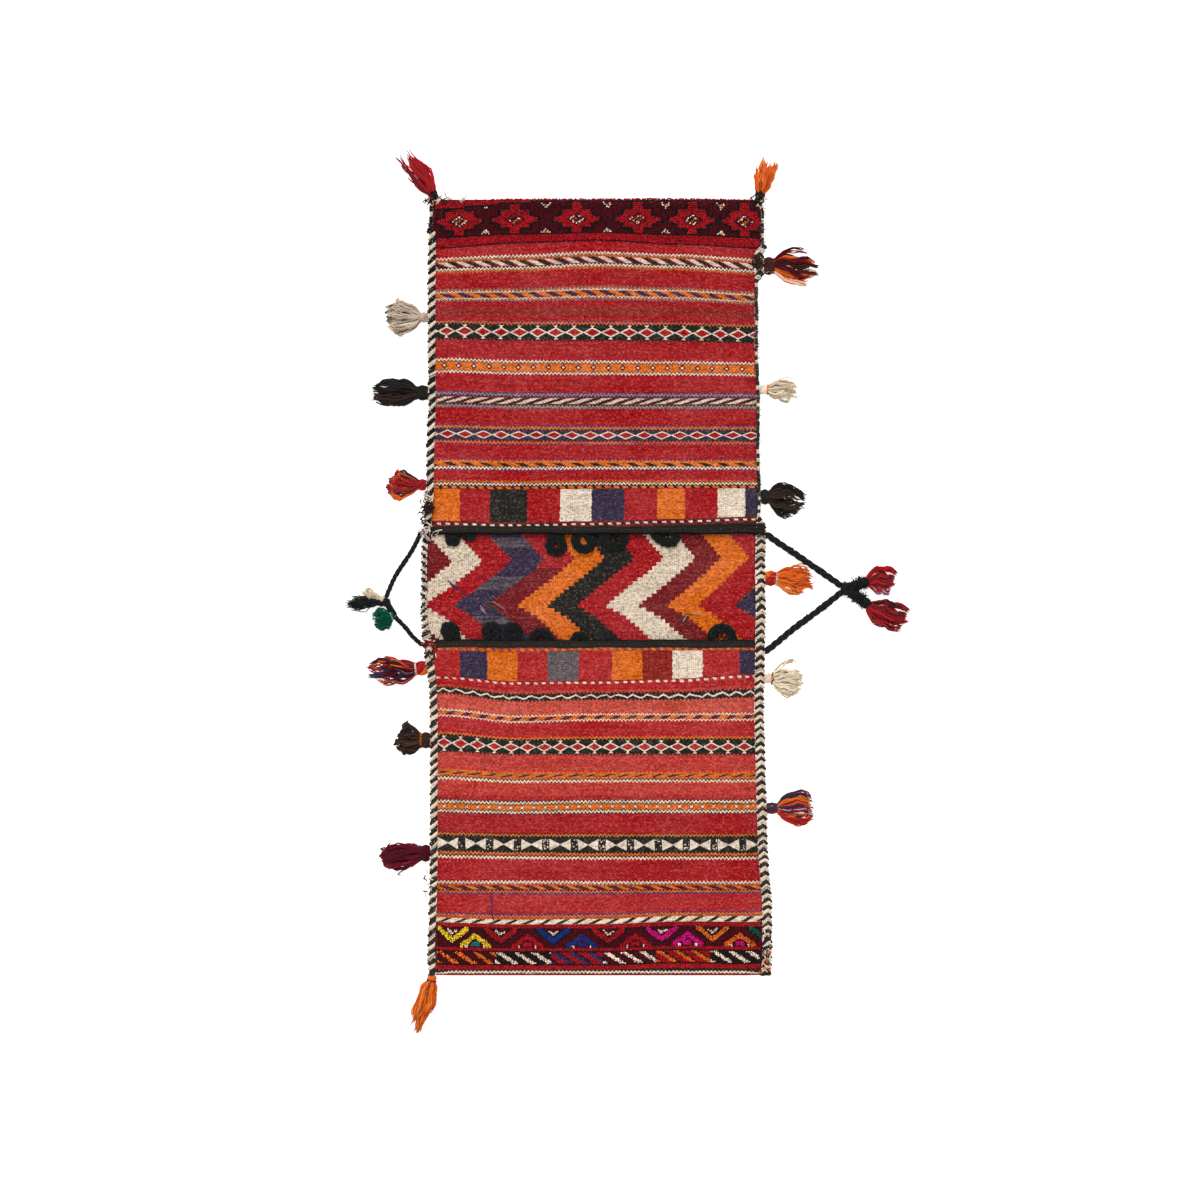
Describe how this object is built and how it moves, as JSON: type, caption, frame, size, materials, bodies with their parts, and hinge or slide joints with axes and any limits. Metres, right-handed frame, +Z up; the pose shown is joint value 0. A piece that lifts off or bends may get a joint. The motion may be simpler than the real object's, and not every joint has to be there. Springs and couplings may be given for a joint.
{
  "type": "kilim saddle bag",
  "caption": "Flat woven wool saddle bag with a pouch at each end of a patterned bridge, braided closure loops, overcast sides, side ropes and wool tassels.",
  "frame": {"origin": "middle of the bag's flat underside, under the bridge", "axes": "+Z up, +Y along the length of the bag towards the pouch with the star band, +X across it"},
  "size_m": [0.8513, 1.3473, 0.019],
  "materials": {
    "kilim": "woven wool, red ground with patterned bands, matt",
    "overcast": "black and cream wool overcasting",
    "mouth_band": "dark brown goat hair band, matt",
    "braid": "black plaited goat hair, matt",
    "rope_wool": "black plied wool, matt",
    "red_wool": "loose red wool yarn",
    "maroon_wool": "loose maroon wool yarn",
    "orange_wool": "loose orange wool yarn",
    "grey_wool": "loose grey wool yarn",
    "cream_wool": "loose cream wool yarn",
    "black_wool": "loose black wool yarn",
    "brown_wool": "loose dark brown wool yarn",
    "mixed_wool": "loose wool yarn of red, orange, maroon and navy",
    "green_wool": "loose green wool yarn",
    "navy_thread": "navy wool thread",
    "cream_thread": "cream wool thread",
    "orange_thread": "orange wool thread",
    "black_thread": "black wool thread",
    "red_thread": "red wool thread"
  },
  "bodies": {
    "root": {"closure_loop_lower_1": "braid", "closure_loop_lower_2": "braid", "closure_loop_lower_3": "braid", "closure_loop_lower_4": "braid", "closure_loop_lower_5": "braid", "closure_loop_lower_6": "braid", "closure_loop_lower_7": "braid", "closure_loop_upper_1": "braid", "closure_loop_upper_2": "braid", "closure_loop_upper_3": "braid", "closure_loop_upper_4": "braid", "closure_loop_upper_5": "braid", "closure_loop_upper_6": "braid", "edge_tuft_brown": "brown_wool", "kilim_cloth": "kilim", "mouth_binding_lower": "mouth_band", "mouth_binding_upper": "mouth_band", "rope_end_black": "black_wool", "rope_end_cream": "cream_wool", "rope_knot_left": "rope_wool", "rope_knot_right": "rope_wool", "rope_left_lower": "rope_wool", "rope_left_upper": "rope_wool", "rope_right_lower": "rope_wool", "rope_right_upper": "rope_wool", "rope_tassel_lower": "red_wool", "rope_tassel_neck_lower": "rope_wool", "rope_tassel_neck_upper": "rope_wool", "rope_tassel_upper": "red_wool", "rope_wrap_left": "rope_wool", "side_binding_left": "overcast", "side_binding_right": "overcast", "tassel_black_left": "black_wool", "tassel_black_right": "black_wool", "tassel_brown": "brown_wool", "tassel_cream_lower": "cream_wool", "tassel_cream_upper": "cream_wool", "tassel_grey": "grey_wool", "tassel_maroon": "maroon_wool", "tassel_mixed_lower_left": "mixed_wool", "tassel_mixed_lower_right": "mixed_wool", "tassel_mixed_upper_left": "mixed_wool", "tassel_mixed_upper_right": "mixed_wool", "tassel_orange_corner_bottom": "orange_wool", "tassel_orange_corner_top": "orange_wool", "tassel_orange_right": "orange_wool", "tassel_red_corner": "red_wool", "tie_brown": "orange_thread", "tie_cream_lower": "red_thread", "tie_cream_upper": "orange_thread", "tie_green_tuft": "cream_thread", "tie_maroon": "black_thread", "tie_mixed_lower_left": "cream_thread", "tie_mixed_lower_right": "orange_thread", "tie_orange_corner_bottom": "navy_thread", "tie_orange_corner_top": "black_thread", "tie_orange_right": "cream_thread", "tie_red_corner": "black_thread", "tuft_green": "green_wool"}
  },
  "joints": []
}
